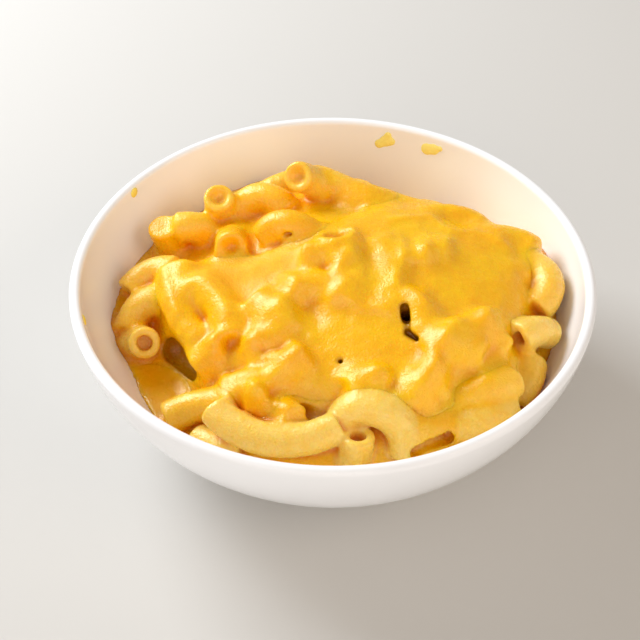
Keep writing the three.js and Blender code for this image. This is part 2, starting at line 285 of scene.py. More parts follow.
def revolve(name, profile, sides):
    rings = [p for p in profile if p[0] > 0]
    angles = 2 * np.pi * np.arange(sides) / sides
    points = [(r * c, r * s, h) for r, h in rings for c, s in zip(np.cos(angles), np.sin(angles))]
    points += [(0, 0, profile[0][1]), (0, 0, profile[-1][1])]
    bottom, top = len(points) - 2, len(points) - 1
    last = (len(rings) - 1) * sides
    faces = []
    for i in range(sides):
        after = (i + 1) % sides
        for start in range(0, last, sides):
            faces.append((start + i, start + after, start + sides + after, start + sides + i))
        faces += [(bottom, after, i), (top, last + i, last + after)]
    mesh = bpy.data.meshes.new(name)
    mesh.from_pydata((np.array(points) * mm).tolist(), [], faces)
    mesh.shade_smooth()
    return mesh


def porcelainFinish():
    finish, board, shader = newMaterial("glazedPorcelain")
    where = board.node("ShaderNodeTexCoord")["Object"]
    cloud = board.noise(where, glaze["cloudScale"], 3.0)
    wave = board.noise(where, glaze["rippleScale"], 1.0)
    tone = board.blend(cloud, glaze["dark"], glaze["light"])
    ripple = board.node("ShaderNodeBump", inputs={
        "Strength": glaze["rippleStrength"], "Distance": glaze["ripple"], "Height": wave})
    shader.inputs["IOR"].default_value = glaze["ior"]
    feed(board, shader, {"Base Color": tone, "Normal": ripple,
                         "Roughness": board.ranged(cloud, 0.3, 0.7, *glaze["rough"])})
    return finish


bowlShell = addObject("bowlShell", revolve("bowlShell", bowlProfile(), bowl["sides"]))
bowlShell.data.materials.append(porcelainFinish())
print("bowl:", len(bowlShell.data.polygons), "faces")


# ---- the heap and its elbows, placed as in the part, a few of them moved a little

# a hollow is x, y, depth and spread, and the wall heights stand every 20 degrees from the right
heap = {
    "peak": 43.7, "leanRight": 0.125, "leanBack": 0.11, "dome": 0.0043, "edgeFrom": 48, "edgeTo": 63,
    "poolLevel": 20,
    "hollows": ((-44, -19, 10.5, 8.5), (-41, -32, 9, 6), (16, 48, 10.5, 9.5), (33, 37, 5, 9)),
    "wallHeights": (29, 34, 26, 25, 26, 27, 27, 28, 28, 28, 24, 12, 20, 23, 24, 22, 18, 22),
}
elbow = {"radius": 4.3, "steps": 6, "mouthSteps": 24, "roundEnd": 0.9, "bore": 2.1, "boreDepth": 3.6,
         "boreStart": -2, "boreEdge": 0.8, "boredFrom": 0.6, "coveredExtra": 0.3, "sides": 28, "rings": 22}
dish = {"radius": 2.4, "length": 3, "out": 0.8, "deeperWhenBare": 1.6, "edge": 1.2}  # in a coated open end

# x y z, turn, pitch, roll, bend, sweep, open end, and how bare of sauce it is
showing = {
    "smile": (-15, -47.5, 31.5, -10, 0, -20, 24, 84, "a", 1.0),
    "arch": (13, -42.5, 36.5, -20, -15, 115, 9, 175, "", 1.0),
    "frontRing": (6, -48.5, 28, -158, -76, -136, 25, 28, "a", 0.9),
    "leftRing": (-51.9, -8.3, 26.6, 125, -40, 0, 14, 50, "a", 0.6),
    "tallRing": (-32, 33.5, 38.5, 0, -75, -145, 11, 70, "a", 0.3),
    "leftStub": (-47, 26.5, 33, -10, -65, -125, 14, 50, "", 0.0),
    "crownRing": (-6.8, 37.5, 46.8, 25, -42, 180, 11, 70, "a", 0.3),
    "backSlope": (5, 36.5, 43, -22, -14, 65, 30, 45, "", 0.3),
    "backLobe": (9, 33.5, 42, 4, 6, 80, 7, 110, "", 0.1),
    "bridge": (-12.5, 18.5, 46, -10, 5, 95, 7.5, 125, "", 0.0),
    "leftBack": (-21, 36, 41.5, -10, 15, 125, 8, 130, "", 0.1),
    "leftCurl": (-39, 26.5, 38, 10, -25, 72, 6, 100, "", 0.1),
    "leftHump": (-28.5, 19.5, 39, 87, -32, 150, 30, 30, "a", 0.0),
    "paleLeft": (-51, 12, 33, 15, 20, 165, 11, 80, "", 0.35),
    "leftLow": (-53, 1.5, 30, 35, 30, 165, 8, 95, "", 0.3),
    "lowerLeft": (-34, -32.5, 27.5, -5, 20, 170, 20, 55, "", 0.1),
    "bottomLeft": (-29, -43.5, 23.5, -30, 10, 15, 20, 40, "", 0.8),
    "innerEnd": (-11.5, -38.3, 31.2, 110, -24, 165, 20, 35, "", 0.3),
    "rightHook": (59, 6, 37.5, -80, -6, 160, 9, 130, "", 0.5),
    "rightCurl": (54, -12.5, 35.8, 37, -25, 97, 15, 50, "a", 0.9),
    "lowRightA": (40, -34.5, 35.5, 22, 9, 55, 14, 65, "", 0.25),
    "lowRightB": (38, -41, 32, 22, 6, 45, 14, 75, "", 0.45),
    "rightEdge": (51.5, -24, 28.5, -114, -22, 137, 13, 55, "", 0.3),
    "frontRight": (24, -44.5, 30.5, 15, 0, 0, 8, 90, "", 0.3),
}
filler = {"rings": (33, 40, 48, 56), "lifts": (1.5, 1.5, 1, -1), "spacing": 8, "fromElbows": 7.5,
          "fromSauce": 3, "bend": 10, "sweep": 115, "turnStep": 0.618, "rollStep": 0.755,
          "turnRange": (-50, 50), "rollRange": (40, 140), "bare": 0.2}
covered = {
    "leaf": (-41, -4.5, 35.5, -70, -10, 20, 28, 50),
    "nose": (-29, -8.5, 38.5, -60, 0, 135, 17, 65),
    "middleRing": (3, 6.5, 45.5, -120, -20, 0, 15, 35),
    "paleBar": (-1, 3.5, 46.5, 5, 0, 0, 25, 32),
    "rightOfMid": (6, -4.5, 44.5, -80, -5, 170, 9, 100),
    "dome": (-6, -6.5, 44.5, 10, 10, 90, 7, 90),
    "leftOfMid": (-16, -15, 40.5, -80, -12, 160, 11, 90),
    "lowMiddle": (-14, -28, 36.5, -5, 15, 0, 11, 75),
    "lowLeft": (-32, -20, 31.5, 10, 30, 150, 12, 40),
    "smallFront": (-21, -31.5, 33.5, -20, 20, 135, 8, 80),
    "front": (9, -33.5, 37.5, 10, 5, 160, 7, 80),
    "frontRight": (22, -34.5, 37.5, 45, 15, 150, 12, 55),
    "rightFront": (31, -24, 41.5, 5, -5, 135, 10, 75),
    "besidePit": (23, -14, 43.5, -60, -10, 150, 7, 100),
    "ridge": (16, -2.5, 44.3, -90, -7, 170, 27, 55),
    "rightOfBack": (25, 6.5, 45.5, 30, 0, 170, 7, 100),
    "rightHump": (41, -17, 41.5, 10, -20, 140, 7, 120),
    "rightFold": (33, 26.5, 41.5, 0, -8, 125, 11, 75),
    "rightBack": (50, 19, 39.5, 0, -10, 180, 7, 110),
    "backFold": (22, 33.5, 38, -30, 6, 60, 18, 60),
    "backEdge": (32, 42.5, 27.8, -40, -5, 100, 14, 60),
    "backHump": (47, 33.5, 27, -55, 0, 110, 10, 80),
}
blanketOutline = np.array([
    (-46, 6), (-45, -5), (-40, -14), (-34, -22), (-26, -34), (-18, -40), (-9, -41), (2, -36), (14, -38),
    (28, -43), (37, -38.5), (45.5, -32), (49, -13), (53, 0), (55, 9), (57, 20), (52, 32),
    (42, 45), (28, 53), (17, 53), (14, 43), (12, 30), (-4, 17), (-20, 10), (-34, 12)], float)
blanket = {"depth": 3, "edgeDepth": 1.5, "edgeWidth": 6, "edgeRound": 1.6, "under": 1.4}

# what the covered elbows make of the sauce's surface: a path, its half width and its rise
swells = {
    "ring": (((5, 13.5), (6.3, 10), (4.8, 6.5), (1.5, 5), (-2.3, 6.3), (-4, 9.5), (-2.5, 12.7)), 1.7, 1.6),
    "ringHollow": (((0.8, 10), (2.2, 10.8)), 2.3, -3.8),
    "bar": (((-7.2, 3.8), (-0.5, 3.5)), 1.6, 0.8),
    "knob": (((4.6, 1.5), (1.4, -3.5)), 2.1, 0.9),
    "patch": (((3.3, -7.5), (-0.9, -13)), 2.5, 1.2),
    "shoulder": (((-13.2, -1.8), (-9.9, -7.8)), 2.4, 1.2),
    "dent": (((-6, -10), (-4.5, -14)), 3.4, -1.4),
    "smallDent": (((-3, 0), (-1.5, -1.8)), 1.8, -0.9),
    "dome": (((-13, -14), (-10.5, -17.5)), 4.0, 2.4),
    "lowDome": (((-21, -21.8), (-23.7, -23.2)), 3.0, 1.3),
    "frontDome": (((-11, -31), (-8.5, -28)), 3.6, 2.2),
    "crease": (((-25, -26.3), (-17.8, -28.5)), 2.1, -1.3),
    "smallCrease": (((-17.5, -24.3), (-13.5, -24.8)), 1.7, -1.0),
    "frontDip": (((-8, -37.5), (-3.5, -38.8)), 2.8, -2.2),
    "overSmile": (((-19.5, -38), (-16, -40), (-11.5, -41.2)), 2.6, 3.0),
    "spot": (((11, -34), (11.5, -34.4)), 2.8, 1.8),
    "smallSpot": (((-5.2, -21.3), (-4.8, -21.6)), 1.4, 0.7),
    "frontPatch": (((-24, -35), (-20.5, -35.3)), 2.1, 1.2),
    "fold": (((19, 10), (19, 3), (18.4, -2), (16.6, -7)), 1.7, 0.6),
    "groove": (((21, 11), (22, 2), (21, -5), (19, -10)), 2.6, -0.6),
    "backSpot": (((25, 4.3), (25.4, 3.8)), 2.1, 1.3),
    "arm": (((20.3, -10.3), (24.2, -14.5)), 1.8, 1.1),
    "bigHump": (((31, -21.5), (29, -25.5)), 3.6, 2.2),
    "slope": (((25.5, -32.5), (23.5, -37)), 3.2, 1.8),
    "lowSlope": (((25, -41), (27.4, -41.8)), 1.9, 1.0),
    "overElbows": (((31, -34.5), (38, -32), (45, -28.5)), 4.6, 1.2),
    "rightDent": (((35.5, -32), (31, -35.5)), 2.4, -1.8),
    "rightSpot": (((39.5, -34.6), (40, -34.8)), 1.8, 1.3),
    "humpEdge": (((43.5, -15), (45.6, -20)), 1.6, 1.0),
    "backFlow": (((15, 18.5), (27, 22), (32.3, 15.5), (39, 17), (48.6, 12)), 1.4, 0.7),
    "backDent": (((32.5, 24), (36, 22.5)), 3.4, -1.8),
    "backHump": (((53, 6.5), (53.5, 8)), 2.8, 2.0),
    "rightHump": (((40, -15), (40.5, -17.5)), 2.8, 1.4),
    "vee": (((-39, -1.9), (-36.5, -1.6), (-33.8, -3.6), (-31, -7), (-27.6, -12.3)), 2.0, 0.6),
    "leafEdge": (((-47.5, 7.5), (-44.8, -2), (-41.6, -9.5)), 1.5, 0.9),
    "leafDent": (((-37.5, -6.5), (-34.5, -9.5)), 2.6, -1.0),
    "mouthDent": (((46, -17.5), (49.5, -15)), 3.0, -3.5),
    "lump": (((-31.5, -20.5), (-31, -21.5)), 2.8, 2.0),
    "leftShoulder": (((-37, 9), (-35, 3)), 8, 2.6),
}

# where the sauce has dried to a duller, rougher skin and its colour is darkened as painted shade: a path,
# its half width and how strong both are
dullAndShadedSkin = {"golden": (((-28, 2), (-15, 4)), 7.0, 1.0)}

# holes left between the elbows: both ends of a rod, its radius, and how much painted shade darkens the
# sauce inside it
pits = {
    "backSlot": ((-13, 14.5, 46), (-9.5, 15, 46.5), 0.6, 0.2),
    "middleHole": ((18.8, -14.8, 46), (19.3, -17.2, 44.5), 1.3, 0.8),
    "middleShaft": ((19.1, -15.5, 45), (20.3, -12.5, 37), 1.4, 0.9),
    "crescent": ((19.2, -18.5, 45.4), (19.4, -21.5, 43.9), 0.6, 0.7),
    "crescentEnd": ((19.4, -21.5, 43.7), (23.6, -23.8, 42.6), 0.7, 0.7),
    "crescentDeep": ((19.6, -20.5, 43), (22, -22, 41.5), 0.8, 0.8),
    "pinhole": ((2, -29, 42), (2.5, -27, 37), 0.55, 0.5),
    "cave": ((-43, -9, 24), (-35, -16, 23), 3.6, 0.5),
    "frontMouth": ((21, -49, 30), (29, -45, 31), 2.1, 0.15),
    "frontGap": ((-7, -39.2, 33), (-3, -40.6, 33.5), 1.9, 0.35),
}


def smoothStep(value, low, high):
    t = np.clip((value - low) / (high - low), 0, 1)
    return t * t * (3 - 2 * t)


def heightAtWall(x, y):
    places = len(heap["wallHeights"])
    levels = np.array(heap["wallHeights"], float)
    place = (np.arctan2(y, x) / (2 * np.pi) * places) % places
    before = np.floor(place).astype(int) % places
    share = smoothStep(place - np.floor(place), 0, 1)
    return levels[before] + (levels[(before + 1) % places] - levels[before]) * share


def heapTop(x, y):
    level = heap["peak"] + heap["leanRight"] * x + heap["leanBack"] * y - heap["dome"] * (x * x + y * y)
    edge = smoothStep(np.hypot(x, y), heap["edgeFrom"], heap["edgeTo"])
    level = level + (heightAtWall(x, y) - level) * edge
    for hx, hy, depth, spread in heap["hollows"]:
        level = level - depth * np.exp(-((x - hx) ** 2 + (y - hy) ** 2) / (2 * spread ** 2))
    return level


def bendOf(row):  # middle, heading, direction to the bend's centre, bend radius and sweep
    x, y, z, turn, pitch, roll, bend, sweep = row[:8]
    turn, pitch, roll = np.radians([turn, pitch, roll])
    along = np.array([math.cos(turn), math.sin(turn), math.tan(pitch)])
    along /= np.linalg.norm(along)
    side = np.array([-math.sin(turn), math.cos(turn), 0])
    inward = side * math.cos(roll) - np.cross(along, side) * math.sin(roll)
    return np.array([x, y, z], float), along, inward, bend, math.radians(sweep)


def bendPoints(row, steps):
    middle, along, inward, bend, sweep = bendOf(row)
    angle = (sweep * (np.arange(steps + 1) / steps - 0.5))[:, None]
    return middle + along * bend * np.sin(angle) + inward * bend * (1 - np.cos(angle))


def lengthOf(row):
    bend, sweep = row[6:8]
    return bend * math.radians(sweep)


def mouthOf(row):  # the open end, and the way out of it
    points = bendPoints(row, elbow["mouthSteps"])
    out = points[0] - points[1]
    return points[0], out / np.linalg.norm(out)


def smoothOutline(corners, steps=3):  # a closed centripetal curve through the corners
    before, start, end, after = (np.roll(corners, shift, axis=0) for shift in (1, 0, -1, -2))
    gaps = [np.linalg.norm(b - a, axis=1, keepdims=True) ** 0.5
            for a, b in ((before, start), (start, end), (end, after))]
    first, middle, last = gaps
    leave = middle * ((start - before) / first - (end - before) / (first + middle) + (end - start) / middle)
    arrive = middle * ((end - start) / middle - (after - start) / (middle + last) + (after - end) / last)
    points = []
    for t in np.arange(steps) / steps:
        points.append(start + leave * t + (3 * (end - start) - 2 * leave - arrive) * t ** 2
                      + (2 * (start - end) + leave + arrive) * t ** 3)
    return np.stack(points, axis=1).reshape(-1, 2)


def pathDistance(x, y, path):
    nearest = np.full(np.broadcast(x, y).shape, np.inf)
    for (ax, ay), (bx, by) in zip(path, path[1:]):
        dx, dy = bx - ax, by - ay
        t = np.clip(((x - ax) * dx + (y - ay) * dy) / (dx * dx + dy * dy), 0, 1)
        nearest = np.minimum(nearest, np.hypot(x - ax - t * dx, y - ay - t * dy))
    return nearest


def insideDistance(x, y, loop):  # distance in from a closed loop, negative outside it
    closed = np.concatenate([loop, loop[:1]])
    nearest = pathDistance(x, y, closed)
    inside = np.zeros(nearest.shape, bool)
    for (ax, ay), (bx, by) in zip(closed, closed[1:]):
        if ay != by:
            inside ^= ((ay > y) != (by > y)) & (x < ax + (y - ay) * (bx - ax) / (by - ay))
    return np.where(inside, nearest, -nearest)


def alongPaths(x, y, marks):  # each mark is a path, its half width and what it adds on the path
    return sum(rise * np.exp(-(pathDistance(x, y, path) / wide) ** 2) for path, wide, rise in marks)


outlineLoop = smoothOutline(blanketOutline)


def fillerRow(x, y, lift, alongRing, count):
    turnShare, rollShare = (count * filler["turnStep"]) % 1, (count * filler["rollStep"]) % 1
    turn = alongRing + np.interp(turnShare, (0, 1), filler["turnRange"])
    roll = np.interp(rollShare, (0, 1), filler["rollRange"])
    return (x, y, heapTop(x, y) + lift, turn, 0, roll, filler["bend"], filler["sweep"], "", filler["bare"])


def fillerRows():
    rows = []
    taken = np.concatenate([bendPoints(row, elbow["steps"]) for row in showing.values()])
    for ring, lift in zip(filler["rings"], filler["lifts"]):
        places = int(2 * math.pi * ring / filler["spacing"])
        for i in range(places):
            angle = 2 * math.pi * i / places
            x, y = ring * math.cos(angle), ring * math.sin(angle)
            crowded = np.hypot(taken[:, 0] - x, taken[:, 1] - y).min() < filler["fromElbows"]
            underSauce = insideDistance(np.array(x), np.array(y), outlineLoop) > -filler["fromSauce"]
            inPool = heapTop(x, y) < heap["poolLevel"] + elbow["radius"]
            if crowded or underSauce or inPool:
                continue
            rows.append(fillerRow(x, y, lift, math.degrees(angle) + 90, len(rows)))
            taken = np.concatenate([taken, bendPoints(rows[-1], elbow["steps"])])
    return rows


# ---- Geometry Nodes: a bent tube for each point

def elbowTree():
    board, given = newTree("elbowTree", {
        "Points": ("Geometry", None), "Sides": ("Int", 24), "Rings": ("Int", 16),
        "Finish": ("Material", None)})
    stock = board.node("GeometryNodeMeshCylinder", {"fill_type": "TRIANGLE_FAN"}, {
        "Vertices": given["Sides"], "Side Segments": given["Rings"], "Radius": 1.0, "Depth": 1.0})
    placed = board.node("GeometryNodeInstanceOnPoints", inputs={
        "Points": given["Points"], "Instance": stock})
    loose = board.node("GeometryNodeRealizeInstances", inputs={"Geometry": placed})

    def stored(name, kind):
        return board.node("GeometryNodeInputNamedAttribute", {"data_type": kind}, {"Name": name})

    along, inward = stored("along", "FLOAT_VECTOR"), stored("inward", "FLOAT_VECTOR")
    bend, size = stored("bend", "FLOAT"), stored("size", "FLOAT")
    here = board.node("ShaderNodeSeparateXYZ", inputs={"Vector": board.node("GeometryNodeInputPosition")})
    angle = here["Z"] * stored("sweep", "FLOAT") + stored("shift", "FLOAT")
    across = board.node("ShaderNodeVectorMath", {"operation": "CROSS_PRODUCT"}, {0: along, 1: inward})
    outward = along * board.maths("SINE", angle) - inward * board.maths("COSINE", angle)
    centre = stored("middle", "FLOAT_VECTOR") + inward * bend
    bent = centre + outward * (bend + here["X"] * size) + across * (here["Y"] * size)
    shaped = board.node("GeometryNodeSetPosition", inputs={"Geometry": loose, "Position": bent})
    dressed = board.node("GeometryNodeSetMaterial", inputs={
        "Geometry": shaped, "Material": given["Finish"]})
    board.node("NodeGroupOutput", inputs={"Geometry": dressed})
    return board.tree


def store(mesh, name, kind, values):
    layer = mesh.attributes.new(name, kind, "POINT")
    field = "vector" if kind == "FLOAT_VECTOR" else "value"
    layer.data.foreach_set(field, np.asarray(values, np.float32 if kind != "INT" else np.int32).ravel())


def tubes(name, specs):  # each spec is a row, a tube radius, and the shares of the bend it runs between
    mesh = bpy.data.meshes.new(name)
    mesh.from_pydata([(0, 0, 0)] * len(specs), [], [])
    rows, sizes, starts, ends = zip(*specs)
    middles, alongs, inwards, bends, sweeps = zip(*(bendOf(row) for row in rows))
    starts, ends, sweeps = np.array(starts), np.array(ends), np.array(sweeps)
    for label, vectors in (("middle", middles), ("along", alongs), ("inward", inwards)):
        store(mesh, label, "FLOAT_VECTOR", vectors)
    for label, values in (("bend", bends), ("size", sizes), ("sweep", sweeps * (ends - starts)),
                          ("shift", sweeps * ((ends + starts) / 2 - 0.5))):
        store(mesh, label, "FLOAT", values)
    store(mesh, "number", "INT", range(len(specs)))
    thing = runTree(addObject(name, mesh), tubeTree, {"Sides": elbow["sides"], "Rings": elbow["rings"]})
    points, triangles, numbers = readMesh(thing.data)
    bpy.data.objects.remove(thing)
    owner = numbers[triangles[:, 0]]
    return [(points, triangles[owner == i]) for i in range(len(specs))]


def readMesh(mesh):
    points = np.empty(len(mesh.vertices) * 3, np.float32)
    mesh.vertices.foreach_get("co", points)
    mesh.calc_loop_triangles()
    triangles = np.empty(len(mesh.loop_triangles) * 3, np.int32)
    mesh.loop_triangles.foreach_get("vertices", triangles)
    numbers = np.empty(len(mesh.vertices), np.int32)
    mesh.attributes["number"].data.foreach_get("value", numbers)
    return points.reshape(-1, 3), triangles.reshape(-1, 3), numbers


# ---- the block of voxels

block = {"voxel": 0.5, "low": (-64, -63, 4), "high": (66, 66, 57), "reach": 6}
step = block["voxel"]
origin = np.floor(np.array(block["low"]) / step).astype(int)
shape = np.ceil(np.array(block["high"]) / step).astype(int) - origin
xs, ys, zs = ((origin[i] + np.arange(shape[i])) * step for i in range(3))
flatX, flatY = xs[:, None], ys[None, :]
height = zs[None, None, :].astype(np.float32)


def smoothMin(a, b, k):
    return np.minimum(a, b) - np.maximum(k - np.abs(a - b), 0) ** 2 / (4 * k)


def smoothMax(a, b, k):
    return -smoothMin(-a, -b, k)


def tubeField(tube, grow):  # distance to a tube, in a window of the block
    points, triangles = tube
    used, corners = np.unique(triangles, return_inverse=True)
    grid = openvdb.FloatGrid.createLevelSetFromPolygons(
        np.ascontiguousarray(points[used]), triangles=corners.reshape(-1, 3).astype(np.uint32),
        transform=openvdb.createLinearTransform(voxelSize=step), halfWidth=block["reach"] / step)
    low, high = (np.array(corner) for corner in grid.evalActiveVoxelBoundingBox())
    low = np.maximum(low, origin)
    high = np.minimum(high, origin + shape - 1)
    values = np.empty(tuple(high - low + 1), np.float32)
    grid.copyToArray(values, ijk=tuple(int(v) for v in low))
    window = tuple(slice(a, b) for a, b in zip(low - origin, high - origin + 1))
    return window, values - grow


def underHeight(top):  # distance to everything under a surface
    slopeX, slopeY = np.gradient(top, step)
    steep = np.sqrt(1 + slopeX ** 2 + slopeY ** 2)
    return ((height - top[:, :, None]) / steep[:, :, None]).astype(np.float32)


def wallDistance(x, y, z):  # distance in from the inner wall and floor
    curve = wallPoint(np.linspace(0, 1, bowl["fitSteps"]), bowl["wall"])[::-1]
    radius = np.interp(z, curve[:, 1], curve[:, 0])
    lean = 1 / np.hypot(1, np.interp(z, curve[:, 1], np.gradient(curve[:, 0], curve[:, 1])))
    return np.minimum((radius - np.hypot(x, y)) * lean, z - curve[0, 1]).astype(np.float32)


def blurred(field, reach):  # box blur with running sums
    width = int(round(reach / step)) * 2 + 1
    for axis in range(3):
        padding = [(0, 0)] * 3
        padding[axis] = (width // 2 + 1, width // 2)
        total = np.cumsum(np.pad(field, padding, mode="edge"), axis=axis, dtype=np.float32)
        length = field.shape[axis]
        ahead = np.take(total, range(width, width + length), axis=axis)
        field = (ahead - np.take(total, range(length), axis=axis)) / width
    return field


def sampled(field, points):  # trilinear, at points in millimetres
    place = points / step - origin
    place = np.clip(place, 0, shape - 1.001)
    cell = place.astype(int)
    share = place - cell
    total = 0
    for i in (0, 1):
        for j in (0, 1):
            for k in (0, 1):
                weight = (np.abs(1 - i - share[:, 0]) * np.abs(1 - j - share[:, 1])
                          * np.abs(1 - k - share[:, 2]))
                total = total + weight * field[cell[:, 0] + i, cell[:, 1] + j, cell[:, 2] + k]
    return total


melt = {"bare": 0.8, "coated": 3.8, "covered": 4.0, "pieces": 4.2, "pits": 0.8, "pitCoat": 1.2,
        "gapEdge": 1.0, "wallSink": 0.12, "seam": 1.6, "buriedFrom": 1.0, "bareSpread": 0.5,
        "sauceBlur": 0.5, "hollowReach": (1.5, 3.5), "faint": 1e-4}
tubeTree = elbowTree()
placedRows = [*showing.values(), *fillerRows()]
soft = elbow["roundEnd"]


def shortened(row, radius):  # so that growing it by the rounding gives the full elbow
    cut = soft / lengthOf(row)
    return row, radius - soft, cut, 1 - cut


def boreSpec(row):
    return row, elbow["bore"], elbow["boreStart"] / lengthOf(row), elbow["boreDepth"] / lengthOf(row)


def capsule(start, end, radius, window=(slice(None),) * 3):  # distance to a round-ended rod
    start, along = np.array(start, float), np.array(end, float) - np.array(start, float)
    places = np.ix_(xs[window[0]], ys[window[1]], zs[window[2]])
    away = [place - first for place, first in zip(places, start)]
    t = np.clip(sum(a * b for a, b in zip(away, along)) / (along @ along), 0, 1)
    return np.sqrt(sum((a - t * b) ** 2 for a, b in zip(away, along))).astype(np.float32) - radius


elbowTubes = tubes("elbows", [shortened(row, elbow["radius"]) for row in placedRows])
coveredTubes = tubes("coveredElbows", [shortened(row, elbow["radius"] + elbow["coveredExtra"])
                                       for row in covered.values()])
boredRows = [row for row in placedRows if row[8] and row[9] >= elbow["boredFrom"]]  # open and bare
boreTubes = tubes("bores", [boreSpec(row) for row in boredRows])
print("elbows:", len(elbowTubes), "placed,", len(coveredTubes), "covered")

top = heapTop(flatX, flatY)
pasta = underHeight(top)
nearest = np.full(tuple(shape), float(block["reach"]), np.float32)  # distance to the nearest elbow itself
weights = np.full(tuple(shape), melt["faint"], np.float32)
bareness = np.full(tuple(shape), melt["faint"] * filler["bare"], np.float32)
for row, tube in zip(placedRows, elbowTubes):
    window, field = tubeField(tube, soft)
    openEnd, bare = row[8:]
    if openEnd and bare < elbow["boredFrom"]:  # sauce leaves a shallow dish in a coated end
        mouth, out = mouthOf(row)
        middle = mouth + out * (dish["out"] - dish["deeperWhenBare"] * bare)
        scoop = capsule(middle, middle + out * dish["length"], dish["radius"], window)
        field = smoothMax(field, -scoop, dish["edge"])
    softness = melt["coated"] + (melt["bare"] - melt["coated"]) * bare
    pasta[window] = smoothMin(pasta[window], field, softness)
    nearest[window] = np.minimum(nearest[window], field)
    weight = np.exp(-np.abs(field) / melt["bareSpread"])
    weights[window] += weight
    bareness[window] += weight * bare
bareness /= weights
for tube in boreTubes:
    window, field = tubeField(tube, 0)
    for layer in (pasta, nearest):
        layer[window] = smoothMax(layer[window], -field, elbow["boreEdge"])

inwards = insideDistance(flatX, flatY, outlineLoop)
poured = top + blanket["edgeDepth"] + ((blanket["depth"] - blanket["edgeDepth"])
                                       * smoothStep(inwards, 0, blanket["edgeWidth"]))
sauce = smoothMax(underHeight(poured), (-inwards[:, :, None]).astype(np.float32), blanket["edgeRound"])
for tube in coveredTubes:
    window, field = tubeField(tube, soft)
    sauce[window] = smoothMin(sauce[window], field, melt["covered"])
sauce = sauce - alongPaths(flatX, flatY, swells.values())[:, :, None].astype(np.float32)
sauce = blurred(blurred(sauce, melt["sauceBlur"]), melt["sauceBlur"])
pool = np.broadcast_to(height - heap["poolLevel"], pasta.shape).astype(np.float32)

food = smoothMin(smoothMin(pasta, sauce, melt["pieces"]), pool, melt["pieces"])
pitShade = np.zeros(tuple(shape), np.float32)
# each pit is cut, and its inside gets a mask of painted shade
for start, end, radius, dark in pits.values():
    cut = -capsule(start, end, radius)
    pitShade = np.maximum(pitShade, dark * smoothStep(cut, -melt["gapEdge"], 0).astype(np.float32))
    food, pasta, sauce = (smoothMax(field, cut, melt["pits"]) for field in (food, pasta, sauce))
    nearest = np.maximum(nearest, cut + melt["pitCoat"])
inside = wallDistance(flatX[:, :, None], flatY[:, :, None], height)
filled = ((food < 0) | (inside < 0)).astype(np.float32)
closeReach, wideReach = melt["hollowReach"]
# how enclosed each point is, from the blurred fill; it drives the painted shade in creases
hollow = (blurred(filled, closeReach) + blurred(filled, wideReach)) / 2
print("block:", "x".join(str(n) for n in shape), "voxels")


def pieceField(own, others):  # the melted surface where a piece is the nearest, its own surface elsewhere
    lead = others - own
    share = smoothStep(-lead, 0, melt["seam"])
    field = food + (own - food) * share
    return np.maximum(field, -inside - melt["wallSink"])


def skinned(name, field, voxel, corner):  # the mesh of a block's surface, and its points in millimetres
    band = 3 * voxel
    grid = openvdb.FloatGrid(background=band)
    grid.copyFromArray(np.clip(field, -band, band), ijk=tuple(int(v) for v in corner), tolerance=0)
    grid.gridClass = openvdb.GridClass.LEVEL_SET
    points, quads = grid.convertToQuads(isovalue=0)
    points = points * voxel
    mesh = bpy.data.meshes.new(name)
    mesh.from_pydata((points * mm).tolist(), [], quads[:, ::-1].tolist())
    return mesh, points


def meshField(name, field):
    mesh, points = skinned(name, field, step, origin)
    for label, layer in (("bare", bareness), ("depth", nearest), ("hollow", hollow), ("pitShade", pitShade)):
        store(mesh, label, "FLOAT", sampled(layer, points))
    store(mesh, "buried", "FLOAT", sampled(food, points) < -melt["buriedFrom"])
    store(mesh, "dullAndShaded", "FLOAT", alongPaths(points[:, 0], points[:, 1], dullAndShadedSkin.values()))
    return mesh


# ---- Geometry Nodes: the finished skin of a melted piece

def skinTree():
    board, given = newTree("skinTree", {
        "Geometry": ("Geometry", None), "Least Island": ("Int", 400), "Lump Height": ("Float", 0.0001),
        "Lump Size": ("Float", 0.002), "Swell Height": ("Float", 0.0), "Swell Size": ("Float", 0.006),
        "Finish": ("Material", None)})
    island = board.node("GeometryNodeInputMeshIsland")["Island Index"]
    size = board.node("GeometryNodeAccumulateField", {"data_type": "INT"}, {"Value": 1, "Group ID": island})
    small = board.node("FunctionNodeCompare", {"data_type": "INT", "operation": "LESS_THAN"},
                       {"A": size["Total"], "B": given["Least Island"]})
    kept = board.node("GeometryNodeDeleteGeometry", inputs={
        "Geometry": given["Geometry"], "Selection": small})
    where = board.node("GeometryNodeInputPosition")

    def waves(size, detail):
        return board.noise(where, board.maths("DIVIDE", 1.0, size), detail) - 0.5

    rise = (waves(given["Lump Size"], 2.0) * given["Lump Height"]
            + waves(given["Swell Size"], 1.0) * given["Swell Height"])
    raised = board.node("GeometryNodeSetPosition", inputs={
        "Geometry": kept, "Offset": board.node("GeometryNodeInputNormal") * rise})
    loose = board.node("GeometryNodeRealizeInstances", inputs={"Geometry": raised})
    smooth = board.node("GeometryNodeSetShadeSmooth", inputs={"Geometry": loose})
    dressed = board.node("GeometryNodeSetMaterial", inputs={
        "Geometry": smooth, "Material": given["Finish"]})
    board.node("NodeGroupOutput", inputs={"Geometry": dressed})
    return board.tree
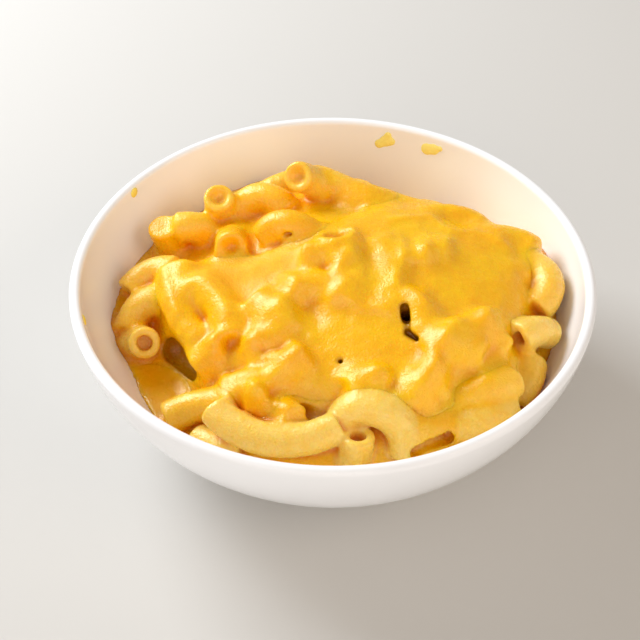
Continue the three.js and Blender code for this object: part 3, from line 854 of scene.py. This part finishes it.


# tones, with painted shade for creases, pits and the dull patch, then the sauce over the pasta in
# millimetres, the relief in metres, and how it shines and glows
sauces = {
    "pasta": srgb(246, 210, 104), "pastaDeep": srgb(244, 200, 78), "cheese": srgb(250, 193, 0),
    "cheeseDeep": srgb(247, 182, 0), "crevice": srgb(228, 126, 0), "deepest": srgb(112, 52, 0),
    "dullAndShaded": srgb(238, 164, 0), "creviceAt": (0.53, 0.78), "creviceShare": 0.8, "dullShare": 0.6,
    "cloudScale": 90.0, "fleckScale": 420.0, "grainScale": 1900.0, "coat": 1.3, "extra": 0.0,
    "coatWander": 1.2, "coatedAt": (0.1, 1.5), "relief": 0.00025, "grain": 0.75, "gloss": 0.22,
    "glossRange": 0.12, "dullRoughness": 0.5, "specular": 0.7, "specularTint": (1.0, 0.96, 0.72, 1.0),
    "glow": 0.6, "glowRadius": (1.0, 0.68, 0.15), "glowScale": 0.0025,
}


def sauceFinish(name, changes):
    finish, board, shader = newMaterial(name)
    values = {**sauces, **changes}

    def layer(label):
        return board.node("ShaderNodeAttribute", {"attribute_name": label})["Fac"]

    where = board.node("ShaderNodeTexCoord")["Object"]
    clouds = board.noise(where, values["cloudScale"], 4.0)
    flecks = board.noise(where, values["fleckScale"], 3.0)
    grain = board.noise(where, values["grainScale"], 2.0)
    depth = (layer("depth") + (clouds - 0.5) * values["coatWander"]
             + (1 - layer("bare")) * values["coat"] + values["extra"])
    coated = board.ranged(depth, *values["coatedAt"])
    pasta = board.blend(board.ranged(flecks, 0.35, 0.7), values["pasta"], values["pastaDeep"])
    cheese = board.blend(board.ranged(clouds, 0.35, 0.65), values["cheese"], values["cheeseDeep"])
    tone = board.blend(coated, pasta, cheese)
    # painted shade: enclosed places turn a deeper orange, partly for thicker sauce in the creases and
    # partly for the shade that falls there
    crevice = board.ranged(layer("hollow"), *values["creviceAt"], 0.0, values["creviceShare"])
    tone = board.blend(crevice, tone, values["crevice"])
    # painted shade: the dull patch is darkened to a deeper golden
    tone = board.blend(layer("dullAndShaded") * values["dullShare"], tone, values["dullAndShaded"])
    # painted shade: the inside of pits and gaps is darkened to brown
    tone = board.blend(layer("pitShade"), tone, values["deepest"])
    bumps = (grain - 0.5) * values["grain"] + (flecks - 0.5)
    relief = board.node("ShaderNodeBump", inputs={
        "Strength": 1.0, "Distance": values["relief"], "Height": bumps})
    gloss = board.ranged(flecks, 0.3, 0.75, values["gloss"], values["gloss"] + values["glossRange"])
    rough = gloss + layer("dullAndShaded") * values["dullRoughness"]
    feed(board, shader, {"Base Color": tone, "Normal": relief, "Roughness": rough})
    for socket, value in (("Specular IOR Level", "specular"), ("Specular Tint", "specularTint"),
                          ("Subsurface Weight", "glow"), ("Subsurface Radius", "glowRadius"),
                          ("Subsurface Scale", "glowScale")):
        shader.inputs[socket].default_value = values[value]
    return finish


def thinBuried(piece, share):  # fewer faces where food or wall covers them, down to this share of all
    buried = np.empty(len(piece.data.vertices), np.float32)
    piece.data.attributes["buried"].data.foreach_get("value", buried)
    group = piece.vertex_groups.new(name="buried")
    group.add(np.flatnonzero(buried).tolist(), 1.0, "REPLACE")
    modifier = piece.modifiers.new("thin", "DECIMATE")
    modifier.vertex_group = group.name
    modifier.ratio = share
    settle(piece, modifier)
    piece.vertex_groups.clear()


# each melted piece: its finish, what that changes of the sauces, its swells in metres and the faces kept
melted = {
    "macaroniHeap": ("sauceOnPasta", {}, 0.0003, 0.47),
    "cheeseBlanket": ("thickCheese", {"extra": 1.0}, 0.0006, 0.75),
    "saucePool": ("looseSauce", {"extra": 2.0, "relief": 0.0001, "crevice": srgb(246, 146, 0)}, 0.0, 0.8),
}
skin = skinTree()
skinSizes = {"Lump Height": 0.00014, "Lump Size": 0.0022, "Swell Size": 0.005}


def addPiece(name, field):
    finishName, changes, swellHeight, share = melted[name]
    finish = sauceFinish(finishName, changes)
    piece = addObject(name, meshField(name, field))
    runTree(piece, skin, {**skinSizes, "Swell Height": swellHeight, "Finish": finish})
    thinBuried(piece, share)
    print(name + ":", len(piece.data.polygons), "faces")
    return piece


floorOfSauce = (top - blanket["under"])[:, :, None] - height
macaroniHeap = addPiece("macaroniHeap", pieceField(pasta, np.minimum(sauce, pool)))
cheeseBlanket = addPiece("cheeseBlanket",
                         np.maximum(pieceField(sauce, np.minimum(pasta, pool)), floorOfSauce))
saucePool = addPiece("saucePool",
                     np.maximum(pieceField(pool, np.minimum(pasta, sauce)), floorOfSauce))

# ---- sauce splashed on the inner wall

# angle round the bowl, how far down the wall's curve, and drops: millimetres across and up, and a radius
splashes = {
    "wideSmear": (76.5, 0.075, ((-1.6, -1.6, 1.5), (0.3, -0.4, 1.9), (2.0, -0.3, 1.3), (0.9, 1.6, 1.1))),
    "lowSmear": (64, 0.065, ((-1.2, -0.6, 1.9), (0.9, -0.1, 1.8), (2.9, 0.7, 0.9))),
    "smallDrop": (148.6, 0.02, ((0, 0, 1.4), (0.3, 0.4, 1.0))),
    "leftDrop": (-165.5, 0.046, ((0, 0, 1.3), (0.2, 0.7, 1.0))),
}
splashBlock = {"voxel": 0.15, "half": 5, "far": 9.0, "thick": 0.42, "sink": 0.08, "melt": 0.8,
               "stepDown": 0.01}


def addSplash(name, angle, down, drops):
    seat, nearby = wallPoint(np.array([down, down + splashBlock["stepDown"]]), bowl["wall"])
    upward = (seat - nearby) / np.linalg.norm(seat - nearby)
    spoke = np.array([math.cos(math.radians(angle)), math.sin(math.radians(angle)), 0])
    across = np.cross(spoke, (0, 0, 1))
    up = spoke * upward[0] + np.array([0, 0, upward[1]])
    outward = np.cross(across, up)
    outward *= np.sign(outward @ spoke)
    middle = spoke * seat[0] + np.array([0, 0, seat[1]])
    voxel, cells = splashBlock["voxel"], int(splashBlock["half"] / splashBlock["voxel"])
    corner = np.round(middle / voxel).astype(int) - cells
    places = [(start + np.arange(2 * cells + 1)) * voxel for start in corner]
    x, y, z = np.meshgrid(*places, indexing="ij")
    field = np.full(x.shape, splashBlock["far"], np.float32)
    for right, rise, radius in drops:
        cx, cy, cz = middle + across * right + up * rise
        depth = (x - cx) * outward[0] + (y - cy) * outward[1] + (z - cz) * outward[2]
        flat = np.sqrt((x - cx) ** 2 + (y - cy) ** 2 + (z - cz) ** 2 - depth ** 2)
        drop = np.hypot(flat, depth * radius / splashBlock["thick"]) - radius
        field = smoothMin(field, drop.astype(np.float32), splashBlock["melt"])
    field = np.maximum(field, -wallDistance(x, y, z) - splashBlock["sink"])
    mesh, points = skinned(name, field, voxel, corner)
    for label in ("bare", "depth", "hollow", "pitShade", "dullAndShaded"):
        store(mesh, label, "FLOAT", np.zeros(len(points)))
    mesh.materials.append(splashPaint)
    mesh.shade_smooth()
    return addObject(name, mesh)


splashPaint = sauceFinish("splashedCheese", {
    "extra": 2.0, "relief": 0.0001, "glow": 0.05, "cheese": srgb(255, 238, 132),
    "cheeseDeep": srgb(255, 228, 104)})
splashPieces = [addSplash(name, *values) for name, values in splashes.items()]
print("splashes:", sum(len(piece.data.polygons) for piece in splashPieces), "faces")

# ---- the pieces and the CAD

for piece, node, slot in ((bowlShell, "bowl", "porcelain"), (macaroniHeap, "macaroni", "pasta"),
                          (cheeseBlanket, "cheese_sauce", "cheese"),
                          (saucePool, "sauce_pool", "thin_sauce")):
    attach(piece, "root")
    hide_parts(node)
for piece in splashPieces:
    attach(piece, "root")
    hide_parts("bowl")
